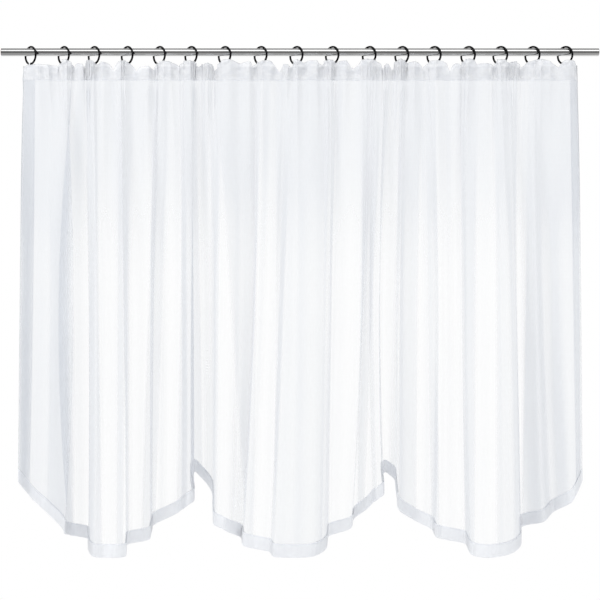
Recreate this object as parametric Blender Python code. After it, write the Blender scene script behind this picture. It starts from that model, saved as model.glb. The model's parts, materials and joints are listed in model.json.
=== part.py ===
"""A sheer cafe curtain that hangs by seventeen rings from a plain steel rod.

The frame is the rod's: X runs along the rod, Z is up, and the front of the curtain faces -Y.
The origin is the middle of the rod, on its axis. All sizes are in metres.
"""

import math

import bmesh
import bpy
from mathutils import Matrix, Vector

MM = 0.001

# Rod
ROD_LENGTH = 1.244
ROD_RADIUS = 8 * MM
ROD_SIDES = 32

# Rings: thin round wire, each turned the same way on the rod
RING_X = (-561, -492, -429, -360, -293, -227, -157, -82, -7.5, 67, 144, 212, 279, 350, 417, 484, 552)
RING_RADIUS = 17.8 * MM
RING_WIRE = 2.08 * MM
RING_DROP = 6.8 * MM
RING_TURN = math.radians(-43.5)
RING_STEPS = 16
WIRE_STEPS = 6

# Loops of tape that the rings pass through, sewn behind the heading
LOOP_INSIDE = 2.5 * MM
LOOP_THICK = 0.9 * MM
LOOP_WIDTH = 3.0 * MM
LOOP_FOOT = -46 * MM
LOOP_CLEARANCE = 0.8 * MM
LOOP_REACH = (-8 * MM, -4 * MM, 0.0, 4 * MM)
LOOP_ARC_STEPS = 5

# Cloth
CLOTH_THICK = 1.2 * MM
TAPE_THICK = 1.0 * MM
BINDING_THICK = 0.9 * MM
SEWN_GAP = 0.5 * MM
HEM_GAP = 1.2 * MM
HEM_FOLD = 1.5 * MM
BINDING_WIDTH = 25 * MM
SEAM_ROW = 27 * MM
COLUMN_PITCH = 26 * MM
COLUMN_MERGE = 8 * MM
COLUMNS_PER_LOBE = 4
CORNER_ROUNDING = 7 * MM

# Heights of the cloth
TAPE_TOP = -31 * MM
TAPE_BELOW_EDGE = 3 * MM
TAPE_MIDDLE = -48 * MM
GATHER_LINE = -60 * MM
HEM_LOW = -1.033
LEVELS_BELOW_GATHER = (0.012, 0.05, 0.14, 0.30, 0.52, 0.77)

# The hem is cut in three scallops, each an arc of one circle between two cusps
SCALLOP_HALF = 0.400
SCALLOP_RISE = 0.153
SCALLOP_RADIUS = (SCALLOP_HALF**2 + SCALLOP_RISE**2) / (2 * SCALLOP_RISE)

# Gathers: each lobe of the ruffled heading is one gather, forward in its middle. The heading
# hangs a little in front of the rod's axis, clear of the rings and loops.
HEADING_FORWARD = 9 * MM
GATHER_DEPTH = 6 * MM
GATHER_SLOPE = 0.16
GATHER_PINCH = 0.55
GATHER_FADE = 0.11
RUFFLE_LEAN = 8 * MM
RUFFLE_FOLD = -34 * MM
RUFFLE_TOP = -18 * MM
LOBE_SQUARENESS = 3
HEADING_START_X = -577
HEADING_START_Z = -29

# Lobes of the heading's top edge, left to right: where each ends, its crest and the notch after it (mm)
LOBES = (
    # end_x, crest_z, notch_z
    (-505, -27, -31),
    (-468, -18, -38),
    (-448, -25, -31),
    (-420, -19, -27),
    (-391, -23, -38),
    (-339, -20, -41),
    (-305, -31, -36),
    (-252, -21, -33),
    (-210, -20, -31),
    (-175, -25, -38),
    (-125, -18, -25),
    (-98, -21, -29),
    (-44, -20, -42),
    (-18, -27, -31),
    (7, -18, -23),
    (44, -20, -27),
    (76, -18, -23),
    (109, -21, -36),
    (173, -17, -34),
    (191, -26, -39),
    (223, -17, -23),
    (254, -22, -36),
    (312, -19, -42),
    (333, -25, -31),
    (368, -16, -27),
    (401, -25, -28),
    (431, -17, -22),
    (460, -22, -35),
    (537, -18, -33),
    (577, -19, -29),
)

# The cloth's path from left to right, one row for each corner of a fold. A corner is at top_x at
# the gathers, and at x and y at half height and at the hem (mm). The last column is its place in
# its scallop: 0 at the lowest point, 1 at the cusp where two scallops meet.
FOLDS = (
    # name, top_x, middle_x, middle_y, low_x, low_y, scallop
    ("left edge", -577, -582, -6, -587, -4, 0.97),
    ("left wave", -545, -552, 14, -563, 12, 0.84),
    ("fold 2 front", -486, -466, -38, -487, -36, 0.54),
    ("fold 2 tuck", -470, -504, 8, -478, 10, 0.46),
    ("fold 3 back", -448, -445, 26, -446, 30, 0.35),
    ("fold 3 side", -438, -434, -20, -432, -50, 0.20),
    ("fold 3 front", -426, -413, -62, -410, -94, 0.08),
    ("left tongue", -400, -387, -48, -380, -99, 0.0),
    ("fold 4 front", -374, -359, -60, -352, -90, 0.12),
    ("fold 4 back", -360, -360, 4, -359, -16, 0.29),
    ("fold 5 front", -306, -310, -14, -312, -6, 0.41),
    ("fold 5 back", -292, -308, 32, -312, 44, 0.53),
    ("fold 6 knee", -252, -250, 24, -252, 30, 0.73),
    ("fold 6 front", -238, -232, -8, -233, -2, 0.80),
    ("fold 6 edge", -228, -222, 0, -222, 6, 0.83),
    ("left cusp", -216, -231, 54, -231, 72, 0.97),
    ("fold 7 turn", -206, -222, 60, -222, 79, 1.0),
    ("fold 7 back", -188, -185, 30, -183, 32, 0.86),
    ("fold 7 front", -172, -176, -18, -177, -38, 0.64),
    ("fold 7 ridge", -160, -160, -30, -158, -50, 0.60),
    ("fold 8 back", -96, -99, 12, -124, -8, 0.42),
    ("fold 8 front", -82, -93, -24, -117, -46, 0.34),
    ("fold 9 back", -36, -46, -6, -63, -58, 0.20),
    ("fold 9 front", -16, -33, -56, -52, -92, 0.08),
    ("middle tongue", 0, -4, -62, -12, -98, 0.0),
    ("middle curve", 40, 37, -52, 28, -86, 0.12),
    ("fold 10 front", 62, 61, -40, 54, -44, 0.29),
    ("fold 10 back", 76, 65, 8, 58, 10, 0.42),
    ("fold 11 front", 128, 126, -14, 104, 6, 0.56),
    ("fold 11 back", 142, 132, 24, 109, 44, 0.62),
    ("fold 12 knee", 154, 145, 22, 156, 30, 0.80),
    ("fold 12 side", 163, 154, -8, 166, 5, 0.84),
    ("fold 12 edge", 172, 166, -6, 180, 9, 0.88),
    ("right cusp", 184, 167, 48, 181, 66, 0.98),
    ("fold 12 turn", 192, 176, 53, 189, 72, 1.0),
    ("fold 12 back", 206, 203, 26, 201, 34, 0.95),
    ("fold 12 front", 216, 205, -14, 202, -22, 0.80),
    ("fold 13 back", 236, 240, 10, 240, 14, 0.64),
    ("fold 13 side", 264, 281, 4, 275, -2, 0.53),
    ("fold 13 front", 278, 285, -30, 278, -34, 0.49),
    ("fold 14 back", 336, 336, -14, 342, -44, 0.35),
    ("fold 14 front", 350, 340, -44, 344, -84, 0.24),
    ("right tongue", 392, 385, -58, 378, -97, 0.0),
    ("right curve", 416, 420, -60, 425, -78, 0.16),
    ("fold 15 front", 432, 444, -34, 453, -40, 0.34),
    ("fold 15 back", 448, 455, 22, 466, 34, 0.54),
    ("fold 16 front", 482, 492, -10, 510, 0, 0.65),
    ("fold 16 back", 502, 512, 18, 536, 22, 0.72),
    ("fold 17 front", 548, 555, -12, 566, -10, 0.83),
    ("right edge", 577, 585, 0, 589, 6, 0.97),
)


def lerp(start, end, share):
    """The value a given share of the way from start to end."""
    return start + (end - start) * share


def smooth(share):
    """An S curve from 0 to 1, flat outside that range."""
    share = min(max(share, 0.0), 1.0)
    return share * share * (3 - 2 * share)


def by_level(level, top, middle, low):
    """A smooth curve through three values, at levels 0, a half and 1."""
    return top * (1 - level) * (1 - 2 * level) + middle * 4 * level * (1 - level) + low * level * (2 * level - 1)


def level_at(z):
    """How far down the cloth a height is: 0 at the gathers, 1 at the lowest hem."""
    return min(max((GATHER_LINE - z) / (GATHER_LINE - HEM_LOW), 0.0), 1.0)


def corners_at(level):
    """The folds' corners in plan at one level of the cloth."""
    corners = []
    for _, top_x, middle_x, middle_y, low_x, low_y, _ in FOLDS:
        x = by_level(level, top_x, middle_x, low_x)
        y = by_level(level, -HEADING_FORWARD / MM, middle_y, low_y)
        corners.append((x * MM, y * MM))
    return corners


def cloth_stations():
    """How much cloth lies between the left edge and each corner, measured along the hem."""
    low = corners_at(1.0)
    stations = [0.0]
    for before, after in zip(low, low[1:]):
        stations.append(stations[-1] + math.dist(before, after))
    return stations


STATIONS = cloth_stations()
CLOTH_WIDTH = STATIONS[-1]


def segment_of(values, value):
    """Finds the span of a rising list that holds a value, and the share of the way along it."""
    value = min(max(value, values[0]), values[-1])
    index = 0
    while index < len(values) - 2 and values[index + 1] < value:
        index += 1
    return index, (value - values[index]) / (values[index + 1] - values[index])


def across_at_top(station):
    """Where a station of the cloth lies along the heading."""
    index, share = segment_of(STATIONS, station)
    return lerp(FOLDS[index][1], FOLDS[index + 1][1], share) * MM


def station_at_top(x):
    """The station of the cloth that lies at a place along the heading."""
    tops = [row[1] * MM for row in FOLDS]
    index, share = segment_of(tops, x)
    return lerp(STATIONS[index], STATIONS[index + 1], share)


def lobe_at(x):
    """Gives the lobe of the heading at x: the place across it, -1 to 1, its width and the edge's height."""
    start_x, start_z = HEADING_START_X, HEADING_START_Z
    for end_x, crest_z, notch_z in LOBES:
        if x <= end_x * MM or end_x == LOBES[-1][0]:
            break
        start_x, start_z = end_x, notch_z
    share = (x / MM - start_x) / (end_x - start_x)
    across = min(max(2 * share - 1, -1.0), 1.0)
    base = lerp(start_z, notch_z, share)
    height = base + (crest_z - base) * (1 - abs(across) ** LOBE_SQUARENESS)
    return across, (end_x - start_x) * MM, height * MM


def gather(station, z):
    """How far the gathers and the leaning ruffle carry the cloth forward or back."""
    across, width, _ = lobe_at(across_at_top(station))
    wave = -math.cos(math.pi * across) * min(GATHER_DEPTH, GATHER_SLOPE * width)
    if z >= GATHER_LINE:
        strength = lerp(GATHER_PINCH, 1.0, smooth((z - GATHER_LINE) / (TAPE_TOP - GATHER_LINE)))
    else:
        strength = GATHER_PINCH + (1 - GATHER_PINCH) * smooth((GATHER_LINE - z) / (20 * MM))
        strength *= math.exp(-level_at(z) / GATHER_FADE)
    lean = RUFFLE_LEAN * smooth((z - RUFFLE_FOLD) / (RUFFLE_TOP - RUFFLE_FOLD))
    return wave * strength - lean


def path_point(corners, station):
    """A point of the cloth's path in plan, straight between the corners."""
    index, share = segment_of(STATIONS, station)
    before, after = corners[index], corners[index + 1]
    return Vector((lerp(before[0], after[0], share), lerp(before[1], after[1], share)))


def cloth_point(station, z):
    """A point of the cloth's middle surface, with the corners of the folds rounded."""
    corners = corners_at(level_at(z))
    total = Vector((0.0, 0.0))
    weights = 0.0
    for step, weight in ((-1, 1), (0, 2), (1, 1)):
        beside = station + step * CORNER_ROUNDING
        if 0 <= beside <= CLOTH_WIDTH:
            total += weight * path_point(corners, beside)
            weights += weight
    plan = total / weights
    return Vector((plan.x, plan.y + gather(station, z), z))


def hem_height(station):
    """The height of the scalloped hem at a station of the cloth."""
    index, share = segment_of(STATIONS, station)
    from_low = lerp(FOLDS[index][-1], FOLDS[index + 1][-1], share) * SCALLOP_HALF
    return HEM_LOW + SCALLOP_RADIUS - math.sqrt(SCALLOP_RADIUS**2 - from_low**2)


def column_stations():
    """The stations of the cloth's columns: the corners of the folds, and a few in each lobe of the heading."""
    chosen = list(STATIONS)
    start_x = HEADING_START_X
    for end_x, _, _ in LOBES:
        for step in range(COLUMNS_PER_LOBE):
            station = station_at_top(lerp(start_x, end_x, step / COLUMNS_PER_LOBE) * MM)
            if all(abs(station - other) >= COLUMN_MERGE for other in chosen):
                chosen.append(station)
        start_x = end_x
    chosen.sort()
    stations = [0.0]
    for end in chosen[1:]:
        start = stations[-1]
        count = math.ceil((end - start) / COLUMN_PITCH)
        stations += [lerp(start, end, step / count) for step in range(1, count + 1)]
    return stations


def cloth_rows(stations):
    """The middle surface of the panel as rows of points, from the ruffled edge to the hem."""
    columns = []
    for station in stations:
        _, _, edge = lobe_at(across_at_top(station))
        hem = hem_height(station)
        heights = [edge, min(TAPE_TOP, edge - TAPE_BELOW_EDGE), TAPE_MIDDLE, GATHER_LINE]
        heights += [lerp(GATHER_LINE, hem, share) for share in LEVELS_BELOW_GATHER]
        heights += [hem + SEAM_ROW, hem]
        columns.append([cloth_point(station, z) for z in heights])
    return [list(row) for row in zip(*columns)]


def between(upper, lower, drop):
    """A row of points on the cloth, a given drop below the upper of two rows."""
    return [point.lerp(below, drop / (point.z - below.z)) for point, below in zip(upper, lower)]


def shifted(row, distance):
    """A row of points moved square to the cloth in plan, forward where the distance is positive."""
    moved = []
    last = len(row) - 1
    for i, point in enumerate(row):
        ahead = (row[min(i + 1, last)] - row[min(i, last - 1)]).xy.normalized()
        behind = (row[max(i, 1)] - row[max(i - 1, 0)]).xy.normalized()
        tangent = (ahead + behind).normalized()
        mitre = 1 / max(tangent.dot(ahead), 0.75)
        moved.append(point + Vector((tangent.y, -tangent.x, 0)) * distance * mitre)
    return moved


def painted(name, colour, roughness, metallic=0.0):
    """A plain surface of one colour."""
    material = bpy.data.materials.new(name)
    material.use_nodes = True
    shader = material.node_tree.nodes["Principled BSDF"]
    shader.inputs["Base Color"].default_value = (*colour, 1.0)
    shader.inputs["Roughness"].default_value = roughness
    shader.inputs["Metallic"].default_value = metallic
    return material


def placed(name, bm, material, matrix=None):
    """Makes an object of a bmesh and puts it in the scene."""
    bmesh.ops.recalc_face_normals(bm, faces=bm.faces)
    mesh = bpy.data.meshes.new(name)
    bm.to_mesh(mesh)
    bm.free()
    mesh.materials.append(material)
    piece = bpy.data.objects.new(name, mesh)
    if matrix is not None:
        piece.matrix_world = matrix
    bpy.context.scene.collection.objects.link(piece)
    return piece


def sheet(name, front, back, material):
    """A closed sheet between a front and a back grid of points with the same rows and columns.

    Every diagonal falls to the right, so that sheets sewn face to face stay parallel.
    """
    bm = bmesh.new()
    sides = [[[bm.verts.new(point) for point in row] for row in grid] for grid in (front, back)]
    for side in sides:
        for upper, lower in zip(side, side[1:]):
            if upper[0].co.z < lower[0].co.z:
                upper, lower = lower, upper
            for i in range(len(upper) - 1):
                bm.faces.new((upper[i], upper[i + 1], lower[i + 1]))
                bm.faces.new((upper[i], lower[i + 1], lower[i]))
    rims = [[side[0] for side in sides], [side[-1] for side in sides]]
    rims += [[[row[column] for row in side] for side in sides] for column in (0, -1)]
    for rim, behind in rims:
        for i in range(len(rim) - 1):
            bm.faces.new((rim[i], rim[i + 1], behind[i + 1], behind[i]))
    return placed(name, bm, material)


def make_rod(steel):
    """The round rod with flat ends."""
    bm = bmesh.new()
    bmesh.ops.create_cone(
        bm,
        segments=ROD_SIDES,
        cap_ends=True,
        radius1=ROD_RADIUS,
        radius2=ROD_RADIUS,
        depth=ROD_LENGTH,
        matrix=Matrix.Rotation(math.radians(90), 4, "Y"),
    )
    rod = placed("rod", bm, steel)
    rod.data.shade_smooth()
    rod.data.set_sharp_from_angle(angle=math.radians(40))


def make_rings(black):
    """The rings, all of one mesh, each hanging on the rod."""
    bm = bmesh.new()
    wire = bmesh.ops.create_circle(
        bm, segments=WIRE_STEPS, radius=RING_WIRE, matrix=Matrix.Translation((RING_RADIUS, 0, 0))
    )
    edges = {edge for vertex in wire["verts"] for edge in vertex.link_edges}
    bmesh.ops.rotate(bm, verts=wire["verts"], cent=(RING_RADIUS, 0, 0), matrix=Matrix.Rotation(math.radians(90), 3, "X"))
    bmesh.ops.spin(
        bm,
        geom=list(wire["verts"]) + list(edges),
        cent=(0, 0, 0),
        axis=(0, 0, 1),
        angle=math.tau,
        steps=RING_STEPS,
        use_merge=True,
    )
    upright = Matrix.Rotation(math.radians(90), 4, "X")
    first = placed("ring_01", bm, black)
    first.data.shade_smooth()
    for number, x in enumerate(RING_X, start=1):
        ring = first if number == 1 else bpy.data.objects.new(f"ring_{number:02d}", first.data)
        ring.matrix_world = Matrix.Translation((x * MM, 0, -RING_DROP)) @ Matrix.Rotation(RING_TURN, 4, "Z") @ upright
        if number > 1:
            bpy.context.scene.collection.objects.link(ring)


def loop_lean(x):
    """How far forward the foot of a loop stands, to meet the tape behind the gathers."""
    behind = max(cloth_point(station_at_top(x + reach), LOOP_FOOT).y for reach in LOOP_REACH)
    sewn = CLOTH_THICK / 2 + SEWN_GAP + TAPE_THICK
    forward = -(behind + sewn + LOOP_CLEARANCE + LOOP_INSIDE + LOOP_THICK)
    return max(forward, 0.0) / math.cos(RING_TURN)


def loop_outline(radius, lean):
    """Half rounds over a ring's wire and under the loop's foot, joined by straight legs."""
    outline = []
    for centre_y, centre_z, start in ((0.0, -RING_DROP - RING_RADIUS, 0.0), (-lean, LOOP_FOOT, math.pi)):
        for step in range(LOOP_ARC_STEPS + 1):
            angle = start + math.pi * step / LOOP_ARC_STEPS
            outline.append((centre_y + radius * math.cos(angle), centre_z + radius * math.sin(angle)))
    return outline


def make_loops(tape):
    """The loops behind the heading, square to the wire of the ring that each holds."""
    for number, x in enumerate(RING_X, start=1):
        lean = loop_lean(x * MM)
        outlines = [loop_outline(radius, lean) for radius in (LOOP_INSIDE, LOOP_INSIDE + LOOP_THICK)]
        bm = bmesh.new()
        sides = [
            [[bm.verts.new((side * LOOP_WIDTH / 2, y, z)) for y, z in outline] for outline in outlines]
            for side in (-1, 1)
        ]
        rings = [sides[0][0], sides[0][1], sides[1][1], sides[1][0]]
        for ring, beside in zip(rings, rings[1:] + rings[:1]):
            for i, vertex in enumerate(ring):
                after = (i + 1) % len(ring)
                bm.faces.new((vertex, ring[after], beside[after], beside[i]))
        turned = Matrix.Translation((x * MM, 0, 0)) @ Matrix.Rotation(RING_TURN, 4, "Z")
        placed(f"loop_{number:02d}", bm, tape, turned)


def make_cloth(voile, tape, satin):
    """The panel, the tape behind its heading and the binding round its hem."""
    rows = cloth_rows(column_stations())
    half = CLOTH_THICK / 2
    sheet("curtain_panel", [shifted(row, half) for row in rows], [shifted(row, -half) for row in rows], voile)

    tape_front = -half - SEWN_GAP
    taped = rows[1:4]
    sheet(
        "heading_tape",
        [shifted(row, tape_front) for row in taped],
        [shifted(row, tape_front - TAPE_THICK) for row in taped],
        tape,
    )

    inside = half + SEWN_GAP
    outside = inside + BINDING_THICK
    upper = between(rows[-2], rows[-1], SEAM_ROW - BINDING_WIDTH)
    under = [point - Vector((0, 0, HEM_GAP)) for point in rows[-1]]
    lowest = [point - Vector((0, 0, HEM_GAP + HEM_FOLD)) for point in rows[-1]]
    outer = [shifted(upper, outside), shifted(lowest, outside), shifted(lowest, -outside), shifted(upper, -outside)]
    inner = [shifted(upper, inside), shifted(under, inside), shifted(under, -inside), shifted(upper, -inside)]
    sheet("hem_binding", outer, inner, satin)


def main():
    """Clears the scene and builds the curtain."""
    for item in list(bpy.data.objects):
        bpy.data.objects.remove(item, do_unlink=True)
    make_rod(painted("polished steel", (0.62, 0.62, 0.63), 0.2, metallic=1.0))
    make_rings(painted("black lacquer", (0.012, 0.012, 0.014), 0.25))
    tape = painted("white tape", (0.86, 0.87, 0.89), 0.8)
    make_loops(tape)
    make_cloth(painted("white voile", (0.86, 0.88, 0.91), 0.85), tape, painted("white satin", (0.84, 0.86, 0.9), 0.4))


main()
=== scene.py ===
"""The sheer cafe curtain, its rod and its rings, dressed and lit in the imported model's frame.

X runs along the rod, Z is up and the curtain's front faces -Y. All sizes are in metres unless a
name or a table says millimetres.
"""

import json
import logging
import math
from dataclasses import dataclass
from enum import Enum
from typing import Callable, NamedTuple, Sequence

import bmesh
import bpy
import numpy as np
from mathutils import Matrix, Vector
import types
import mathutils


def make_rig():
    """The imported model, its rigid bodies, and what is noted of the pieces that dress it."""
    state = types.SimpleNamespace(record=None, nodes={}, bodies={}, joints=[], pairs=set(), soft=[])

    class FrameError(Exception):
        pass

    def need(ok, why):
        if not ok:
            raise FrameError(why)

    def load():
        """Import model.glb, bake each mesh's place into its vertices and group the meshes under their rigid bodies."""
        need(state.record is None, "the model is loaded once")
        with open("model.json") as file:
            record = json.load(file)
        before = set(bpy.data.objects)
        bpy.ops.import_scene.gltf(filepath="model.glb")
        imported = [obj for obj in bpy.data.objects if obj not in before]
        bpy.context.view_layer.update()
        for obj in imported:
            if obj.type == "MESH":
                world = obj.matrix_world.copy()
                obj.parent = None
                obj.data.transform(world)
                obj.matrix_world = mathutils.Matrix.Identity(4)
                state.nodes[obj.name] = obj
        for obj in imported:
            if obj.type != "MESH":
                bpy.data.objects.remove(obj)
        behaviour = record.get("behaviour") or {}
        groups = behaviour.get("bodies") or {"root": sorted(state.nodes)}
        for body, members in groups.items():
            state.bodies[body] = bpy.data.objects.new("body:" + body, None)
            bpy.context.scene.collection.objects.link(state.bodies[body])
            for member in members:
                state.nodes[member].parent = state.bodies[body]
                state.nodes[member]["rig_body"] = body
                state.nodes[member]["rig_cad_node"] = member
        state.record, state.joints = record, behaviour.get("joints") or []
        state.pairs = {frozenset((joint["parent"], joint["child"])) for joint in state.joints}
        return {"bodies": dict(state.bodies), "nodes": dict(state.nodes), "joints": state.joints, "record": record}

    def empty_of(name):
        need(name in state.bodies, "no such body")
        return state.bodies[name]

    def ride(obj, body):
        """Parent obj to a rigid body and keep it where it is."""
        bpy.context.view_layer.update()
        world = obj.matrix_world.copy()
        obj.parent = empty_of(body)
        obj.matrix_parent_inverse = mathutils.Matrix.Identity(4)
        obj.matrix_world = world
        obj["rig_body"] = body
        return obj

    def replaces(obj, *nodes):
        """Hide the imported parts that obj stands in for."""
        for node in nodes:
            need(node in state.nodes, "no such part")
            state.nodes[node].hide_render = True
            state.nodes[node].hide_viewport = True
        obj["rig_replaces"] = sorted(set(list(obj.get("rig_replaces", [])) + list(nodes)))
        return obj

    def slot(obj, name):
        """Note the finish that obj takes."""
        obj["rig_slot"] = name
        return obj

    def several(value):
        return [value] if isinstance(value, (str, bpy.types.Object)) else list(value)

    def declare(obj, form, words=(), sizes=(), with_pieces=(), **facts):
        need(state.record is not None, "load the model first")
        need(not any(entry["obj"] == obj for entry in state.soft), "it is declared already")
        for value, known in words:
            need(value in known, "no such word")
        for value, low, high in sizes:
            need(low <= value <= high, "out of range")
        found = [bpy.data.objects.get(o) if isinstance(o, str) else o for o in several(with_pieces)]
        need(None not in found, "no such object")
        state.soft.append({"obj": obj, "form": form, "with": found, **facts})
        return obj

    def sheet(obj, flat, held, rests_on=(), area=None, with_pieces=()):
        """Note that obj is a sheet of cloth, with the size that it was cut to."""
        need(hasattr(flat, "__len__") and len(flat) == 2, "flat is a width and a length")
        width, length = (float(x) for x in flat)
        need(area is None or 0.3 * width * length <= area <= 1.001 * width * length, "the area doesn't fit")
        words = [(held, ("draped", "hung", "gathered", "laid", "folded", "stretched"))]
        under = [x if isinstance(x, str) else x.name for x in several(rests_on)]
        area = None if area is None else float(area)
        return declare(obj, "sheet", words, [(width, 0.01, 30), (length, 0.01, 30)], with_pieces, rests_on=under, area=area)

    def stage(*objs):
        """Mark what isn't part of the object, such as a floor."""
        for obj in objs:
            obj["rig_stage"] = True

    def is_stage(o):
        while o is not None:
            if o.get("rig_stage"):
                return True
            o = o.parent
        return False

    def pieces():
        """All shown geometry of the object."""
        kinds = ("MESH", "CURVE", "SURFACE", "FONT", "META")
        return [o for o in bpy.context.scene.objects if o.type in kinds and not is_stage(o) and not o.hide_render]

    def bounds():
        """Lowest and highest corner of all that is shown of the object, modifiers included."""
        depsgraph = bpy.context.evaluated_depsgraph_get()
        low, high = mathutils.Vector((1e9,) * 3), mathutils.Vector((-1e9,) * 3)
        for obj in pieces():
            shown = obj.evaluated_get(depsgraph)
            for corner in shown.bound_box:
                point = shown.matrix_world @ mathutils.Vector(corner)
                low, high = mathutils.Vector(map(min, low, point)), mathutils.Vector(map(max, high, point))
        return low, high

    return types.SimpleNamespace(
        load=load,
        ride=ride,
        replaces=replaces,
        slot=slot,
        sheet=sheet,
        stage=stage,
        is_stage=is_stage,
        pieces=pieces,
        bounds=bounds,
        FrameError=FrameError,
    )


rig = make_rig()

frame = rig.load()
CAD_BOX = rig.bounds()

LOG = logging.getLogger("cafe_curtain")
MM = 0.001
SIZE_FILE = "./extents.json"
# The attribute that makes the voile denser and paints its colour darker, as painted shade in the folds.
BUNCHING = "bunching"


class Slot(Enum):
    """The record's material slots."""

    STEEL = "rod_steel"
    BLACK = "ring_black"
    VOILE = "voile"
    TAPE = "heading_tape"
    SATIN = "satin_binding"


class Fold(NamedTuple):
    """One corner of the cloth's path in plan, in millimetres.

    It is at top_x at the gathers, and at x and y at half height and at the hem. Its place in its
    scallop is 0 at the lowest point and 1 at the cusp.
    """

    name: str
    top_x: float
    middle_x: float
    middle_y: float
    low_x: float
    low_y: float
    scallop: float


class Band(NamedTuple):
    """A band where the cloth bunches into a soft ridge on its way down, in millimetres.

    It is top_width wide at top_x under the gathers, and low_width wide at low_x at the hem.
    """

    name: str
    top_x: float
    low_x: float
    top_width: float
    low_width: float
    strength: float


class Lobe(NamedTuple):
    """One lobe of the heading's ruffled edge, in millimetres."""

    end_x: float
    crest_z: float
    notch_z: float


FOLDS = tuple(
    Fold(*row)
    for row in (
        ("left edge", -577, -582, -6, -587, -4, 0.97),
        ("left wave", -545, -552, 14, -563, 12, 0.84),
        ("fold 2 front", -486, -466, -38, -487, -36, 0.54),
        ("fold 2 tuck", -470, -504, 8, -478, 10, 0.46),
        ("fold 3 back", -448, -445, 26, -446, 30, 0.35),
        ("fold 3 side", -438, -434, -20, -432, -50, 0.20),
        ("fold 3 front", -426, -413, -62, -410, -94, 0.08),
        ("left tongue", -400, -387, -48, -380, -99, 0.0),
        ("fold 4 front", -374, -359, -60, -352, -90, 0.12),
        ("fold 4 back", -360, -360, 4, -359, -16, 0.29),
        ("fold 5 front", -306, -310, -14, -312, -6, 0.41),
        ("fold 5 back", -292, -308, 32, -312, 44, 0.53),
        ("fold 6 knee", -252, -250, 24, -252, 30, 0.73),
        ("fold 6 front", -238, -232, -8, -233, -2, 0.80),
        ("fold 6 edge", -228, -222, 0, -222, 6, 0.83),
        ("left cusp", -216, -231, 54, -231, 72, 0.97),
        ("fold 7 turn", -206, -222, 60, -222, 79, 1.0),
        ("fold 7 back", -188, -185, 30, -183, 32, 0.86),
        ("fold 7 front", -172, -176, -18, -177, -38, 0.64),
        ("fold 7 ridge", -160, -160, -30, -158, -50, 0.60),
        ("fold 8 back", -96, -99, 12, -124, -8, 0.42),
        ("fold 8 front", -82, -93, -24, -117, -46, 0.34),
        ("fold 9 back", -36, -46, -6, -63, -58, 0.20),
        ("fold 9 front", -16, -33, -56, -52, -92, 0.08),
        ("middle tongue", 0, -4, -62, -12, -98, 0.0),
        ("middle curve", 40, 37, -52, 28, -86, 0.12),
        ("fold 10 front", 62, 61, -40, 54, -44, 0.29),
        ("fold 10 back", 76, 65, 8, 58, 10, 0.42),
        ("fold 11 front", 128, 126, -14, 104, 6, 0.56),
        ("fold 11 back", 142, 132, 24, 109, 44, 0.62),
        ("fold 12 knee", 154, 145, 22, 156, 30, 0.80),
        ("fold 12 side", 163, 154, -8, 166, 5, 0.84),
        ("fold 12 edge", 172, 166, -6, 180, 9, 0.88),
        ("right cusp", 184, 167, 48, 181, 66, 0.98),
        ("fold 12 turn", 192, 176, 53, 189, 72, 1.0),
        ("fold 12 back", 206, 203, 26, 201, 34, 0.95),
        ("fold 12 front", 216, 205, -14, 202, -22, 0.80),
        ("fold 13 back", 236, 240, 10, 240, 14, 0.64),
        ("fold 13 side", 264, 281, 4, 275, -2, 0.53),
        ("fold 13 front", 278, 285, -30, 278, -34, 0.49),
        ("fold 14 back", 336, 336, -14, 342, -44, 0.35),
        ("fold 14 front", 350, 340, -44, 344, -84, 0.24),
        ("right tongue", 392, 385, -58, 378, -97, 0.0),
        ("right curve", 416, 420, -60, 425, -78, 0.16),
        ("fold 15 front", 432, 444, -34, 453, -40, 0.34),
        ("fold 15 back", 448, 455, 22, 466, 34, 0.54),
        ("fold 16 front", 482, 492, -10, 510, 0, 0.65),
        ("fold 16 back", 502, 512, 18, 536, 22, 0.72),
        ("fold 17 front", 548, 555, -12, 566, -10, 0.83),
        ("right edge", 577, 585, 0, 589, 6, 0.97),
    )
)

BANDS = tuple(
    Band(*row)
    for row in (
        ("left side", -530, -530, 92, 108, 0.58),
        ("ring 2", -510, -500, 14, 44, 0.30),
        ("ring 3", -432, -420, 10, 38, 0.62),
        ("ring 4", -366, -363, 14, 8, 0.55),
        ("ring 5", -288, -318, 20, 18, 0.50),
        ("ring 6", -229, -234, 18, 50, 0.46),
        ("ring 7", -172, -176, 7, 6, 0.48),
        ("ring 8", -128, -104, 84, 9, 0.42),
        ("ring 9", 6, -4, 104, 92, 0.42),
        ("ring 10", 62, 54, 12, 8, 0.30),
        ("ring 11", 148, 127, 32, 7, 0.46),
        ("ring 12", 228, 224, 38, 32, 0.46),
        ("ring 13", 268, 281, 9, 7, 0.50),
        ("ring 14", 352, 345, 24, 8, 0.52),
        ("ring 15", 421, 430, 30, 62, 0.40),
        ("right side", 526, 526, 98, 114, 0.56),
        ("ring 16", 482, 500, 8, 9, 0.30),
    )
)

HEADING_START = Lobe(-577, -29, -29)
LOBES = tuple(
    Lobe(*row)
    for row in (
        (-505, -27, -31),
        (-468, -18, -38),
        (-448, -25, -31),
        (-420, -19, -27),
        (-391, -23, -38),
        (-339, -20, -41),
        (-305, -31, -36),
        (-252, -21, -33),
        (-210, -20, -31),
        (-175, -25, -38),
        (-125, -18, -25),
        (-98, -21, -29),
        (-44, -20, -42),
        (-18, -27, -31),
        (7, -18, -23),
        (44, -20, -27),
        (76, -18, -23),
        (109, -21, -36),
        (173, -17, -34),
        (191, -26, -39),
        (223, -17, -23),
        (254, -22, -36),
        (312, -19, -42),
        (333, -25, -31),
        (368, -16, -27),
        (401, -25, -28),
        (431, -17, -22),
        (460, -22, -35),
        (537, -18, -33),
        (577, -19, -29),
    )
)

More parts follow.
